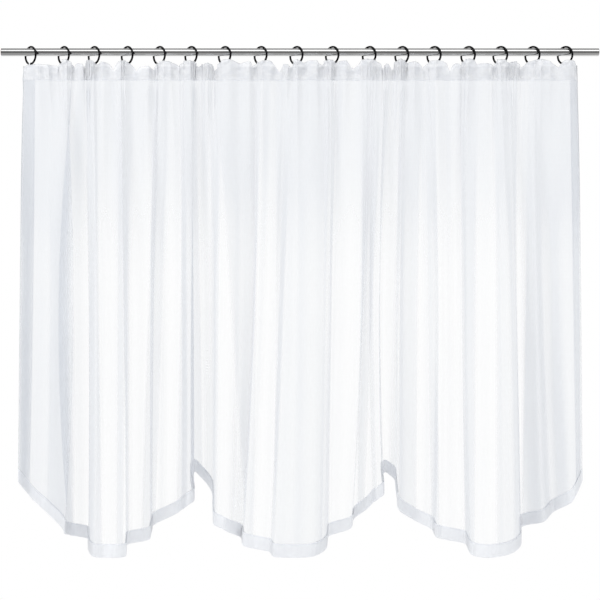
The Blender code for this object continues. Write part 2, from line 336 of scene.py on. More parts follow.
RING_X = (
    *(-561, -492, -429, -360, -293, -227, -157, -82, -7.5),
    *(67, 144, 212, 279, 350, 417, 484, 552),
)


# --- Numbers ---


def smooth(share: np.ndarray | float) -> np.ndarray:
    """An S curve from 0 to 1, flat outside that range."""
    share = np.clip(share, 0.0, 1.0)
    return share * share * (3 - 2 * share)


def by_level(level: np.ndarray, top: np.ndarray, middle: np.ndarray, low: np.ndarray) -> np.ndarray:
    """A smooth curve through three values, at levels 0, a half and 1."""
    return (
        top * (1 - level) * (1 - 2 * level)
        + middle * 4 * level * (1 - level)
        + low * level * (2 * level - 1)
    )


def eased(
    knots: np.ndarray, values: np.ndarray, index: np.ndarray, share: np.ndarray
) -> np.ndarray:
    """A curve through values at rising knots that never swings past them.

    Args:
        knots: The places of the values, one for each row of values.
        values: A row for each knot and a column for each point asked for.
        index: For each point, the knot before it.
        share: For each point, how far it is towards the next knot.

    Returns:
        The value of the curve for each point.
    """
    steps = np.diff(knots)[:, None]
    slopes = np.diff(values, axis=0) / steps
    before, after = slopes[:-1], slopes[1:]
    same = before * after > 0
    mean = np.where(same, 2 * before * after / np.where(same, before + after, 1.0), 0.0)
    slope = np.vstack([slopes[:1], mean, slopes[-1:]])
    column = np.arange(values.shape[1])
    start, end = values[index, column], values[index + 1, column]
    lead = slope[index, column] * steps[index, 0]
    trail = slope[index + 1, column] * steps[index, 0]
    s2, s3 = share**2, share**3
    return (
        (2 * s3 - 3 * s2 + 1) * start
        + (s3 - 2 * s2 + share) * lead
        + (3 * s2 - 2 * s3) * end
        + (s3 - s2) * trail
    )


@dataclass
class Pleats:
    """A run of uneven pleats across the cloth, each with its own width and depth.

    Args:
        width: How wide the cloth is.
        narrow: The least width of cloth in a pleat.
        wide: The most.
        seed: Picks the run, which is the same each time.
    """

    width: float
    narrow: float
    wide: float
    seed: int

    def __post_init__(self) -> None:
        """Draws the pleats' edges and depths."""
        rng = np.random.default_rng(self.seed)
        count = int(self.width / self.narrow) + 2
        self.edges = np.concatenate([[0.0], np.cumsum(rng.uniform(self.narrow, self.wide, count))])
        self.depths = rng.uniform(0.45, 1.0, count + 1)
        self.leans = rng.uniform(-1.0, 1.0, count + 1)

    def turn(self, station: np.ndarray) -> np.ndarray:
        """How many pleats lie before each place across the cloth."""
        return np.interp(station, self.edges, np.arange(len(self.edges)))

    def depth(self, station: np.ndarray) -> np.ndarray:
        """Each place's share of the full depth."""
        return np.interp(station, self.edges, self.depths)

    def lean(self, station: np.ndarray) -> np.ndarray:
        """How far each place's pleat drifts sideways on its way down, -1 to 1."""
        return np.interp(station, self.edges, self.leans)


# --- The cloth's shape ---


@dataclass
class HangingCloth:
    """The curtain's cloth as it hangs: where each point of the flat cloth is in the air."""

    gather_line: float = -60 * MM
    hem_low: float = -1.033
    scallop_half: float = 0.400
    scallop_rise: float = 0.153
    heading_forward: float = 9 * MM
    gather_depth: float = 6 * MM
    gather_slope: float = 0.16
    gather_pinch: float = 0.55
    gather_fade: float = 0.11
    tape_top: float = -31 * MM
    pinch_reach: float = 20 * MM
    ruffle_lean: float = 8 * MM
    ruffle_fold: float = -34 * MM
    ruffle_top: float = -18 * MM
    lobe_squareness: float = 3
    pleat_depth: float = 4.2 * MM
    pleat_overhang: float = 2.6 * MM
    pleat_drift: float = 2.2
    pleat_reach: float = 0.085
    crinkle_depth: float = 2.0 * MM
    crinkle_slant: float = 30.0
    crinkle_beat: float = 310.0
    frill: float = 1.6 * MM
    streak_depth: float = 2.2 * MM
    wave_depth: float = 3.5 * MM
    band_edge: float = 4.5 * MM
    band_depth: float = 5 * MM

    def __post_init__(self) -> None:
        """Measures the cloth along the hem, and draws its pleats and waves."""
        self.corners = np.array([fold[1:] for fold in FOLDS], float)
        low = self.corners[:, 3:5] * MM
        sides = np.linalg.norm(np.diff(low, axis=0), axis=1)
        self.knots = np.concatenate([[0.0], np.cumsum(sides)])
        self.width = float(self.knots[-1])
        rise, half = self.scallop_rise, self.scallop_half
        self.scallop_radius = (half**2 + rise**2) / (2 * rise)
        self.pleats = Pleats(self.width, 15 * MM, 31 * MM, seed=7)
        self.crinkles = Pleats(self.width, 9 * MM, 19 * MM, seed=11)
        self.streaks = Pleats(self.width, 26 * MM, 70 * MM, seed=23)
        self.waves = Pleats(self.width, 70 * MM, 150 * MM, seed=41)

    def stations(self, pitch: float) -> np.ndarray:
        """Evenly spaced places across the cloth, from the left edge to the right one."""
        return np.linspace(0.0, self.width, math.ceil(self.width / pitch) + 1)

    def segment(self, station: np.ndarray) -> tuple[np.ndarray, np.ndarray]:
        """The fold's corner before each station, and the share of the way to the next."""
        before = np.searchsorted(self.knots, station, side="right") - 1
        index = np.clip(before, 0, len(self.knots) - 2)
        share = (station - self.knots[index]) / (self.knots[index + 1] - self.knots[index])
        return index, np.clip(share, 0.0, 1.0)

    def level(self, z: np.ndarray) -> np.ndarray:
        """How far down the cloth a height is: 0 at the gathers, 1 at the lowest hem."""
        return np.clip((self.gather_line - z) / (self.gather_line - self.hem_low), 0.0, 1.0)

    def along_heading(self, station: np.ndarray) -> np.ndarray:
        """Where each station lies along the heading."""
        return np.interp(station, self.knots, self.corners[:, 0]) * MM

    def lobes(self, x: np.ndarray) -> tuple[np.ndarray, np.ndarray, np.ndarray]:
        """The lobe of the heading at each x.

        Args:
            x: Places along the heading.

        Returns:
            The place across the lobe from -1 to 1, the lobe's width, and the edge's height.
        """
        marks = (HEADING_START, *LOBES)
        ends = np.array([mark.end_x for mark in marks]) * MM
        notches = np.array([mark.notch_z for mark in marks]) * MM
        crests = np.array([lobe.crest_z for lobe in LOBES]) * MM
        index = np.clip(np.searchsorted(ends, x, side="left") - 1, 0, len(LOBES) - 1)
        width = ends[index + 1] - ends[index]
        share = np.clip((x - ends[index]) / width, 0.0, 1.0)
        across = 2 * share - 1
        base = notches[index] + (notches[index + 1] - notches[index]) * share
        height = base + (crests[index] - base) * (1 - np.abs(across) ** self.lobe_squareness)
        return across, width, height

    def edge(self, station: np.ndarray) -> np.ndarray:
        """The height of the heading's ruffled edge, with its small frills."""
        _, _, height = self.lobes(self.along_heading(station))
        turn = math.tau * self.pleats.turn(station) * 0.5 + 1.1
        ripple = np.sin(turn) * self.pleats.depth(station)
        return height - self.frill * (0.5 + 0.5 * ripple)

    def hem(self, station: np.ndarray) -> np.ndarray:
        """The height of the scalloped hem."""
        from_low = np.interp(station, self.knots, self.corners[:, 5]) * self.scallop_half
        return self.hem_low + self.scallop_radius - np.sqrt(self.scallop_radius**2 - from_low**2)

    def gather(self, station: np.ndarray, z: np.ndarray) -> np.ndarray:
        """How far the lobes' gathers and the leaning ruffle carry the cloth forward or back."""
        across, width, _ = self.lobes(self.along_heading(station))
        wave = -np.cos(math.pi * across) * np.minimum(self.gather_depth, self.gather_slope * width)
        above = smooth((z - self.gather_line) / (self.tape_top - self.gather_line))
        below = smooth((self.gather_line - z) / self.pinch_reach)
        spread = np.where(z >= self.gather_line, above, below)
        strength = self.gather_pinch + (1 - self.gather_pinch) * spread
        strength = strength * np.exp(-self.level(z) / self.gather_fade)
        reach = self.ruffle_top - self.ruffle_fold
        return wave * strength - self.ruffle_lean * smooth((z - self.ruffle_fold) / reach)

    def ripples(self, station: np.ndarray, z: np.ndarray) -> tuple[np.ndarray, np.ndarray]:
        """The fine pleats of the heading and the soft streaks and waves below it.

        Args:
            station: Places across the cloth.
            z: Their heights.

        Returns:
            How far each place moves along the rod, and forward or back.
        """
        down = self.gather_line - z
        level = self.level(z)
        drift = self.pleats.lean(station) * np.clip(down, -0.05, 0.3) * self.pleat_drift
        turn = math.tau * (self.pleats.turn(station) + drift)
        heading = 0.45 + 0.55 * smooth(-down / (20 * MM))
        falling = (0.45 + 0.55 * smooth(down / (35 * MM))) * np.exp(-down / self.pleat_reach)
        strength = np.where(down < 0, heading, falling) * self.pleats.depth(station)
        forward = -self.pleat_depth * strength * (0.5 + 0.5 * np.sin(turn))
        aside = self.pleat_overhang * strength * np.cos(turn)
        crinkles = self.crinkles.turn(station)
        slant = self.crinkles.lean(station) * down * self.crinkle_slant
        crinkle = np.sin(math.tau * (crinkles + slant)) * self.crinkles.depth(station)
        body = 0.6 + 0.4 * np.sin(down * self.crinkle_beat + crinkles)
        body = smooth(-down / (6 * MM)) * body
        forward = forward - self.crinkle_depth * (0.5 + 0.5 * crinkle) * body
        drift = self.streaks.lean(station) * level * 0.5
        streak = np.sin(math.tau * (self.streaks.turn(station) + drift))
        fade = smooth(down / 0.03) * (0.25 + 0.75 * np.exp(-down / 0.30))
        forward = forward + self.streak_depth * streak * self.streaks.depth(station) * fade
        drift = self.waves.lean(station) * level * 0.35
        wave = np.sin(math.tau * (self.waves.turn(station) + drift))
        swell = smooth(down / 0.25)
        forward = forward + self.wave_depth * wave * self.waves.depth(station) * swell
        return aside, forward

    def bunching(self, x: np.ndarray, z: np.ndarray) -> np.ndarray:
        """How much the bands bunch the cloth, 0 to 1, at places along the rod and heights."""
        level = self.level(z)
        total = np.zeros(np.broadcast(x, z).shape)
        for band in BANDS:
            centre = (band.top_x + (band.low_x - band.top_x) * level) * MM
            half = (band.top_width + (band.low_width - band.top_width) * level) * MM / 2
            total += band.strength * (1 - smooth((np.abs(x - centre) - half) / self.band_edge))
        return np.clip(total, 0.0, 1.0)

    def path(self, station: np.ndarray, z: np.ndarray, rippled: bool = True) -> np.ndarray:
        """The cloth's middle surface.

        Args:
            station: Places across the cloth.
            z: Their heights.
            rippled: Whether it has the fine pleats and streaks.

        Returns:
            A row of x, y and z for each place.
        """
        level = self.level(z)
        index, share = self.segment(station)
        top_x, middle_x, middle_y, low_x, low_y = (self.corners[:, k, None] for k in range(5))
        top_y = np.full_like(top_x, -self.heading_forward / MM)
        x = eased(self.knots, by_level(level[None, :], top_x, middle_x, low_x), index, share) * MM
        y = eased(self.knots, by_level(level[None, :], top_y, middle_y, low_y), index, share) * MM
        y = y + self.gather(station, z)
        if rippled:
            aside, forward = self.ripples(station, z)
            settled = smooth((self.gather_line - z) / 0.12)
            x, y = x + aside, y + forward - self.band_depth * self.bunching(x, z) * settled
        return np.stack([x, y, z], axis=1)

    def layer(
        self, station: np.ndarray, z: np.ndarray, offset: np.ndarray | float, rippled: bool = True
    ) -> np.ndarray:
        """A row of points on a layer of cloth.

        Args:
            station: Places across the cloth.
            z: Their heights.
            offset: How far in front of the middle surface the layer is, square to it in plan.
            rippled: Whether it has the fine pleats and streaks.

        Returns:
            A row of x, y and z for each place.
        """
        step = 1.5 * MM
        ahead = self.path(np.minimum(station + step, self.width), z, rippled)
        behind = self.path(np.maximum(station - step, 0.0), z, rippled)
        tangent = (ahead - behind)[:, :2]
        tangent /= np.maximum(np.linalg.norm(tangent, axis=1, keepdims=True), 1e-9)
        points = self.path(station, z, rippled)
        points[:, 0] += tangent[:, 1] * offset
        points[:, 1] -= tangent[:, 0] * offset
        return points


# --- Shader maths ---


class Socket:
    """An output of a shader node that takes part in arithmetic."""

    def __init__(self, nodes: "Nodes", output: bpy.types.NodeSocket) -> None:
        """Wraps an output of one of the tree's nodes."""
        self.nodes = nodes
        self.output = output

    def _math(self, operation: str, *values: "Socket | float") -> "Socket":
        """Adds a Math node."""
        return self.nodes.add("ShaderNodeMath", {"operation": operation}, dict(enumerate(values)))

    def __add__(self, other: "Socket | float") -> "Socket":
        """The sum."""
        return self._math("ADD", self, other)

    def __radd__(self, other: float) -> "Socket":
        """The sum, with the number first."""
        return self._math("ADD", other, self)

    def __sub__(self, other: "Socket | float") -> "Socket":
        """The difference."""
        return self._math("SUBTRACT", self, other)

    def __rsub__(self, other: float) -> "Socket":
        """The difference, with the number first."""
        return self._math("SUBTRACT", other, self)

    def __mul__(self, other: "Socket | float") -> "Socket":
        """The product."""
        return self._math("MULTIPLY", self, other)

    def __rmul__(self, other: float) -> "Socket":
        """The product, with the number first."""
        return self._math("MULTIPLY", other, self)

    def sine(self) -> "Socket":
        """The sine of an angle in radians."""
        return self._math("SINE", self)

    def size(self) -> "Socket":
        """The value without its sign."""
        return self._math("ABSOLUTE", self)

    def held(self, low: float, high: float) -> "Socket":
        """The value kept between two limits."""
        return self._math("MINIMUM", self._math("MAXIMUM", self, low), high)

    def ramp(self, start: float, end: float) -> "Socket":
        """An S curve from 0 at start to 1 at end."""
        return self.nodes.add(
            "ShaderNodeMapRange",
            {"interpolation_type": "SMOOTHSTEP"},
            {"Value": self, "From Min": start, "From Max": end, "To Min": 0.0, "To Max": 1.0},
        )


Value = Socket | float | tuple[float, ...]


class Nodes:
    """One node tree, and the one way that nodes are added to it."""

    def __init__(self, tree: bpy.types.NodeTree) -> None:
        """Empties a tree, to build it afresh."""
        self.tree = tree
        tree.nodes.clear()

    def add(
        self,
        kind: str,
        settings: dict[str, object] | None = None,
        inputs: dict[str | int, Value] | None = None,
        output: str | int = 0,
    ) -> Socket:
        """Adds a node.

        Args:
            kind: The node's type.
            settings: Its properties, which are set first.
            inputs: A value or a link for each socket, by name or number.
            output: The output that is given back.

        Returns:
            The chosen output.
        """
        node = self.tree.nodes.new(kind)
        for name, value in (settings or {}).items():
            setattr(node, name, value)
        for name, value in (inputs or {}).items():
            if isinstance(value, Socket):
                self.tree.links.new(value.output, node.inputs[name])
            else:
                node.inputs[name].default_value = value
        return Socket(self, node.outputs[output])

    def finish(self, surface: Socket, kind: str = "ShaderNodeOutputMaterial") -> None:
        """Links a shader to the tree's output."""
        node = self.tree.nodes.new(kind)
        self.tree.links.new(surface.output, node.inputs["Surface"])

    def place(self, space: str) -> Socket:
        """A coordinate: Object, UV or Generated."""
        return self.add("ShaderNodeTexCoord", output=space)

    def parts(self, vector: Socket) -> tuple[Socket, Socket, Socket]:
        """The three parts of a vector."""
        first = self.add("ShaderNodeSeparateXYZ", inputs={"Vector": vector})
        outputs = first.output.node.outputs
        return tuple(Socket(self, outputs[axis]) for axis in ("X", "Y", "Z"))

    def scaled(self, vector: Socket, scale: tuple[float, float, float]) -> Socket:
        """A coordinate stretched along its axes."""
        return self.add("ShaderNodeMapping", inputs={"Vector": vector, "Scale": scale})

    def noise(self, vector: Socket, scale: float, detail: float = 2.0) -> Socket:
        """Soft noise from 0 to 1."""
        return self.add(
            "ShaderNodeTexNoise",
            {"noise_dimensions": "3D"},
            {"Vector": vector, "Scale": scale, "Detail": detail, "Roughness": 0.55},
        )

    def blend(
        self, factor: Socket, first: tuple[float, ...] | Socket, second: tuple[float, ...] | Socket
    ) -> Socket:
        """A colour between two others."""
        node = self.tree.nodes.new("ShaderNodeMix")
        node.data_type = "RGBA"
        self.tree.links.new(factor.output, node.inputs[0])
        for socket, value in ((node.inputs[6], first), (node.inputs[7], second)):
            if isinstance(value, Socket):
                self.tree.links.new(value.output, socket)
            else:
                socket.default_value = (*value[:3], 1.0)
        return Socket(self, node.outputs[2])

    def bump(self, height: Socket, strength: float, distance: float) -> Socket:
        """A normal that follows a height."""
        return self.add(
            "ShaderNodeBump", inputs={"Height": height, "Strength": strength, "Distance": distance}
        )

    def mixed(self, factor: Socket | float, first: Socket, second: Socket) -> Socket:
        """A shader between two others."""
        return self.add("ShaderNodeMixShader", inputs={0: factor, 1: first, 2: second})


# --- Finishes ---


@dataclass(frozen=True)
class Finish:
    """A named surface. Each kind of finish says how its nodes are laid."""

    name: str

    def lay(self, nodes: Nodes) -> Socket:
        """The finish's shader."""
        raise NotImplementedError

    def material(self) -> bpy.types.Material:
        """Makes the finish a material, once."""
        made = bpy.data.materials.get(self.name)
        if made is None:
            made = bpy.data.materials.new(self.name)
            made.use_nodes = True
            nodes = Nodes(made.node_tree)
            nodes.finish(self.lay(nodes))
        return made


@dataclass(frozen=True)
class PolishedSteel(Finish):
    """Drawn steel, with faint lines along the tube."""

    light: tuple[float, float, float] = (0.66, 0.66, 0.655)
    dark: tuple[float, float, float] = (0.50, 0.50, 0.50)
    roughness: float = 0.13

    def lay(self, nodes: Nodes) -> Socket:
        """Faint drawing lines in the colour, the roughness and the surface."""
        place = nodes.place("Object")
        lines = nodes.noise(nodes.scaled(place, (1.2, 420.0, 420.0)), 1.0, 2.0)
        clouds = nodes.noise(nodes.scaled(place, (9.0, 60.0, 60.0)), 1.0, 2.0)
        shade = (lines * 0.6 + clouds * 0.4).ramp(0.35, 0.65)
        return nodes.add(
            "ShaderNodeBsdfPrincipled",
            inputs={
                "Base Color": nodes.blend(shade, self.dark, self.light),
                "Metallic": 1.0,
                "Roughness": self.roughness + (lines - 0.5) * 0.10,
                "Normal": nodes.bump(lines, 0.02, 0.0001),
            },
        )


@dataclass(frozen=True)
class BlackEnamel(Finish):
    """Glossy black over wire, a little worn where it rubs."""

    base: tuple[float, float, float] = (0.002, 0.002, 0.0023)
    worn: tuple[float, float, float] = (0.009, 0.009, 0.010)

    def lay(self, nodes: Nodes) -> Socket:
        """An even black with faint wear and a wavy gloss."""
        place = nodes.place("Object")
        wear = nodes.noise(place, 240.0, 3.0).ramp(0.56, 0.74)
        dimples = nodes.noise(place, 520.0, 1.0)
        return nodes.add(
            "ShaderNodeBsdfPrincipled",
            inputs={
                "Base Color": nodes.blend(wear, self.base, self.worn),
                "Roughness": 0.20 + wear * 0.18,
                "Specular IOR Level": 0.14,
                "Normal": nodes.bump(dimples, 0.02, 0.0001),
            },
        )


@dataclass(frozen=True)
class Voile(Finish):
    """Sheer plain weave, which lets light through and looks denser where it is gathered. Its colour has painted shade
    where it bunches and on the heading's crinkles.

    Args:
        name: The material's name.
        thin: How much of the light a single flat layer stops.
        dense: How much a bunched layer stops.
        pitch: From one thread to the next.
    """

    thin: float = 0.09
    dense: float = 0.66
    pitch: float = 0.00062
    # white and shade are a lit and a painted-shade copy of the single layer's colour.
    white: tuple[float, float, float] = (0.79, 0.805, 0.83)
    shade: tuple[float, float, float] = (0.735, 0.752, 0.785)
    # doubled_white and doubled_shade are a lit and a painted-shade copy of the heading's colour.
    doubled_white: tuple[float, float, float] = (0.965, 0.968, 0.98)
    doubled_shade: tuple[float, float, float] = (0.845, 0.855, 0.885)

    def weave(self, nodes: Nodes, u: Socket, v: Socket) -> Socket:
        """The height of crossing threads, 0 to 1."""
        turn = math.tau / self.pitch / 2
        warp = (u * turn).sine().size()
        weft = (v * turn).sine().size()
        return warp * 0.5 + weft * 0.5

    def lay(self, nodes: Nodes) -> Socket:
        """Threads, slubs and clouds over the bunching of the folds, with painted shade where the cloth bunches and on
        the heading's crinkles.
        """
        uv = nodes.place("UV")
        u, v, _ = nodes.parts(uv)
        bunched = nodes.add(
            "ShaderNodeAttribute",
            {"attribute_name": BUNCHING, "attribute_type": "GEOMETRY"},
            output="Fac",
        )
        threads = self.weave(nodes, u, v)
        warp_slubs = nodes.noise(nodes.scaled(uv, (900.0, 14.0, 1.0)), 1.0, 2.0)
        weft_slubs = nodes.noise(nodes.scaled(uv, (12.0, 700.0, 1.0)), 1.0, 2.0)
        clouds = nodes.noise(nodes.scaled(uv, (22.0, 5.0, 1.0)), 1.0, 3.0)
        slubs = (warp_slubs + weft_slubs - 1.0) * 0.5
        heading = v.ramp(0.003, -0.003)
        crumple = nodes.noise(nodes.scaled(uv, (62.0, 75.0, 1.0)), 1.0, 3.0)
        cover = self.thin + bunched * (self.dense - self.thin)
        cover = cover + slubs * 0.08 + (clouds - 0.5) * 0.08 + (crumple - 0.5) * heading * 0.5
        # The colour goes toward shade with random clouds and with the bunching: painted shade in the folds and
        # gathers.
        tone_and_painted_shade = (clouds * 0.55 + bunched * 0.45).ramp(0.25, 0.95)
        single = nodes.blend(tone_and_painted_shade, self.white, self.shade)
        # The heading's colour follows the crumple noise that also bumps it: painted light and shade on its crinkles.
        doubled_with_painted_crinkle_shade = nodes.blend(crumple.ramp(0.35, 0.68), self.doubled_white, self.doubled_shade)
        colour = nodes.blend(heading, single, doubled_with_painted_crinkle_shade)
        creases = nodes.noise(nodes.scaled(uv, (120.0, 18.0, 1.0)), 1.0, 3.0)
        relief = threads * 0.12 + creases * 0.4 + crumple * heading * 3.0
        normal = nodes.bump(relief, 0.45, 0.0010)
        body = nodes.add(
            "ShaderNodeBsdfPrincipled",
            inputs={
                "Base Color": colour,
                "Roughness": 0.78,
                "Specular IOR Level": 0.25,
                "Sheen Weight": 0.06,
                "Sheen Roughness": 0.45,
                "Normal": normal,
            },
        )
        glow = nodes.add("ShaderNodeBsdfTranslucent", inputs={"Color": colour, "Normal": normal})
        clear = nodes.add("ShaderNodeBsdfTransparent")
        cloth = nodes.mixed(0.38 - heading * 0.30, body, glow)
        return nodes.mixed(cover.held(0.05, 0.97), clear, cloth)


@dataclass(frozen=True)
class GatheringTape(Finish):
    """Close white tape with two cords woven in, behind the heading."""

    white: tuple[float, float, float] = (0.93, 0.937, 0.95)
    shade: tuple[float, float, float] = (0.88, 0.888, 0.91)
    rib: float = 0.0011

    def lay(self, nodes: Nodes) -> Socket:
        """Fine ribs across the tape."""
        place = nodes.place("Object")
        x, _, z = nodes.parts(place)
        ribs = (x * (math.tau / self.rib)).sine() * 0.5 + 0.5
        rows = (z * (math.tau / (self.rib * 1.6))).sine() * 0.5 + 0.5
        grime = nodes.noise(place, 70.0, 3.0)
        return nodes.add(
            "ShaderNodeBsdfPrincipled",
            inputs={
                "Base Color": nodes.blend(grime.ramp(0.3, 0.7), self.shade, self.white),
                "Roughness": 0.72 + (ribs - 0.5) * 0.1,
                "Specular IOR Level": 0.3,
                "Normal": nodes.bump(ribs * 0.6 + rows * 0.4, 0.25, 0.0003),
            },
        )


@dataclass(frozen=True)
class SatinRibbon(Finish):
    """Smooth ribbon with a soft shine, close rows along both its edges."""

    # white and shade are a lit and a painted-shade copy of the ribbon's colour.
    white: tuple[float, float, float] = (0.955, 0.96, 0.975)
    shade: tuple[float, float, float] = (0.895, 0.902, 0.925)
    width: float = 0.050

    def lay(self, nodes: Nodes) -> Socket:
        """Long floats of thread, small puckers with painted shade in their colour, and a firmer, darker selvedge."""
        uv = nodes.place("UV")
        _, v, _ = nodes.parts(uv)
        floats = nodes.noise(nodes.scaled(uv, (40.0, 2600.0, 1.0)), 1.0, 2.0)
        puckers = nodes.noise(nodes.scaled(uv, (160.0, 36.0, 1.0)), 1.0, 2.0)
        clouds = nodes.noise(nodes.scaled(uv, (14.0, 20.0, 1.0)), 1.0, 2.0)
        from_middle = (v - self.width / 2).size()
        selvedge = from_middle.ramp(self.width / 2 - 0.0022, self.width / 2 - 0.0010)
        # The colour goes toward shade with random clouds, with the puckers that also bump the surface (painted shade),
        # and at the selvedge.
        tone_and_painted_shade = ((clouds * 0.6 + puckers * 0.4).ramp(0.3, 0.72)) * (1.0 - selvedge * 0.6)
        normal = nodes.bump(floats * 0.12 + puckers + selvedge * 0.5, 0.3, 0.0011)
        colour = nodes.blend(tone_and_painted_shade, self.shade, self.white)
        body = nodes.add(
            "ShaderNodeBsdfPrincipled",
            inputs={
                "Base Color": colour,
                "Roughness": 0.36 + (floats - 0.5) * 0.12 + selvedge * 0.2,
                "Specular IOR Level": 0.5,
                "Anisotropic": 0.5,
                "Sheen Weight": 0.15,
                "Normal": normal,
            },
        )
        glow = nodes.add("ShaderNodeBsdfTranslucent", inputs={"Color": colour, "Normal": normal})
        clear = nodes.add("ShaderNodeBsdfTransparent")
        return nodes.mixed(0.82 + (floats - 0.5) * 0.05, clear, nodes.mixed(0.14, body, glow))


@dataclass(frozen=True)
class Thread(Finish):
    """White sewing thread."""

    white: tuple[float, float, float] = (0.78, 0.80, 0.84)
    shade: tuple[float, float, float] = (0.64, 0.66, 0.72)

    def lay(self, nodes: Nodes) -> Socket:
        """A twist of two shades."""
        place = nodes.place("Object")
        twist = nodes.noise(place, 1800.0, 1.0)
        return nodes.add(
            "ShaderNodeBsdfPrincipled",
            inputs={
                "Base Color": nodes.blend(twist, self.shade, self.white),
                "Roughness": 0.5 + (twist - 0.5) * 0.2,
            },
        )


@dataclass(frozen=True)
class PaleFloor(Finish):
    """A plain pale floor that fades out at its rim."""

    colour: tuple[float, float, float] = (0.86, 0.865, 0.87)
    solid: float = 0.5
    rim: float = 1.6

    def lay(self, nodes: Nodes) -> Socket:
        """A matt disc under a fading edge."""
        place = nodes.place("Object")
        far = nodes.add("ShaderNodeVectorMath", {"operation": "LENGTH"}, {0: place}, output="Value")
        grain = nodes.noise(place, 30.0, 3.0)
        darker = tuple(part * 0.985 for part in self.colour)
        body = nodes.add(
            "ShaderNodeBsdfPrincipled",
            inputs={
                "Base Color": nodes.blend(grain, self.colour, darker),
                "Roughness": 0.9,
            },
        )
        clear = nodes.add("ShaderNodeBsdfTransparent")
        return nodes.mixed(far.ramp(self.solid, self.rim), body, clear)


STEEL = PolishedSteel("polished_steel")
ENAMEL = BlackEnamel("black_enamel")
VOILE = Voile("sheer_voile")
TAPE = GatheringTape("gathering_tape")
SATIN = SatinRibbon("satin_ribbon")
THREAD = Thread("sewing_thread")
FLOOR = PaleFloor("pale_floor")


# --- Pieces ---


def finished(
    name: str,
    bm: bmesh.types.BMesh,
    finish: Finish,
    slot: Slot | None,
    replaces: Sequence[str] = (),
) -> bpy.types.Object:
    """Makes a bmesh a piece of the curtain.

    Args:
        name: The piece's name.
        bm: Its shape, in place. It is freed.
        finish: Its surface.
        slot: The record's material slot that it stands for, if it isn't part of the stage.
        replaces: The model's nodes that it stands for.

    Returns:
        The new object, which rides on the model's body.
    """
    mesh = bpy.data.meshes.new(name)
    bm.to_mesh(mesh)
    bm.free()
    mesh.materials.append(finish.material())
    mesh.shade_smooth()
    piece = bpy.data.objects.new(name, mesh)
    bpy.context.scene.collection.objects.link(piece)
    if slot is not None:
        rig.ride(piece, "root")
        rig.slot(piece, slot.value)
    if replaces:
        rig.replaces(piece, *replaces)
    LOG.info("%s: %d faces", name, len(mesh.polygons))
    return piece


def draped_grid(
    points: np.ndarray, flat: np.ndarray, bunching: np.ndarray | None = None
) -> bmesh.types.BMesh:
    """Lays a grid over rows of points.

    Args:
        points: Rows and columns of x, y and z.
        flat: Rows and columns of the place on the flat cloth, which become the UV map.
        bunching: Rows and columns of how bunched the cloth is, if it matters.

    Returns:
        The grid, in place.
    """
    rows, columns = points.shape[:2]
    bm = bmesh.new()
    uv_layer = bm.loops.layers.uv.new("UVMap")
    bunched = bm.verts.layers.float.new(BUNCHING) if bunching is not None else None
    bmesh.ops.create_grid(bm, x_segments=columns - 1, y_segments=rows - 1, size=0.5)
    for vertex in bm.verts:
        column = round((vertex.co.x + 0.5) * (columns - 1))
        row = round((0.5 - vertex.co.y) * (rows - 1))
        vertex.index = row * columns + column
        vertex.co = points[row, column]
        if bunched is not None:
            vertex[bunched] = float(bunching[row, column])
    places = flat.reshape(-1, 2)
    for face in bm.faces:
        for loop in face.loops:
            loop[uv_layer].uv = places[loop.vert.index]
    bm.verts.index_update()
    bmesh.ops.reverse_faces(bm, faces=bm.faces)
    return bm


@dataclass
class Rod:
    """The plain round rod."""

    length: float = 1.244
    radius: float = 8 * MM
    edge: float = 0.7 * MM
    sides: int = 72

    def build(self) -> bpy.types.Object:
        """Makes the rod, its end edges rounded."""
        bm = bmesh.new()
        bmesh.ops.create_cone(
            bm,
            segments=self.sides,
            cap_ends=True,
            radius1=self.radius,
            radius2=self.radius,
            depth=self.length,
            matrix=Matrix.Rotation(math.pi / 2, 4, "Y"),
        )
        rims = [
            edge
            for edge in bm.edges
            if abs(edge.verts[0].co.x - edge.verts[1].co.x) < self.length / 2
        ]
        bmesh.ops.bevel(
            bm, geom=rims, offset=self.edge, segments=3, profile=0.5, affect="EDGES", material=-1
        )
        bmesh.ops.recalc_face_normals(bm, faces=bm.faces)
        return finished("rod_bar", bm, STEEL, Slot.STEEL, ["rod"])


@dataclass
class Rings:
    """The thin rings that hang on the rod, all turned the same way."""

    radius: float = 17.8 * MM
    wire: float = 2.08 * MM
    drop: float = 6.8 * MM
    turn: float = math.radians(-43.5)
    wire_steps: int = 16
    steps: int = 72

    def build_one(self, number: int, x: float) -> bpy.types.Object:
        """Makes one ring in its place on the rod.

        Args:
            number: The ring's number, from the left.
            x: Its place along the rod, in millimetres.

        Returns:
            The ring.
        """
        bm = bmesh.new()
        bmesh.ops.create_circle(
            bm,
            segments=self.wire_steps,
            radius=self.wire,
            matrix=Matrix.Translation((self.radius, 0, 0)) @ Matrix.Rotation(math.pi / 2, 4, "X"),
        )
        bmesh.ops.spin(
            bm,
            geom=bm.verts[:] + bm.edges[:],
            cent=(0, 0, 0),
            axis=(0, 0, 1),
            angle=math.tau,
            steps=self.steps,
            use_merge=True,
        )
        turned = Matrix.Rotation(self.turn, 4, "Z") @ Matrix.Rotation(math.pi / 2, 4, "X")
        place = Matrix.Translation((x * MM, 0, -self.drop)) @ turned
        bmesh.ops.transform(bm, matrix=place, verts=bm.verts)
        bmesh.ops.recalc_face_normals(bm, faces=bm.faces)
        return finished(f"wire_ring_{number:02d}", bm, ENAMEL, Slot.BLACK, [f"ring_{number:02d}"])

    def build(self) -> list[bpy.types.Object]:
        """Makes every ring."""
        return [self.build_one(number, x) for number, x in enumerate(RING_X, start=1)]


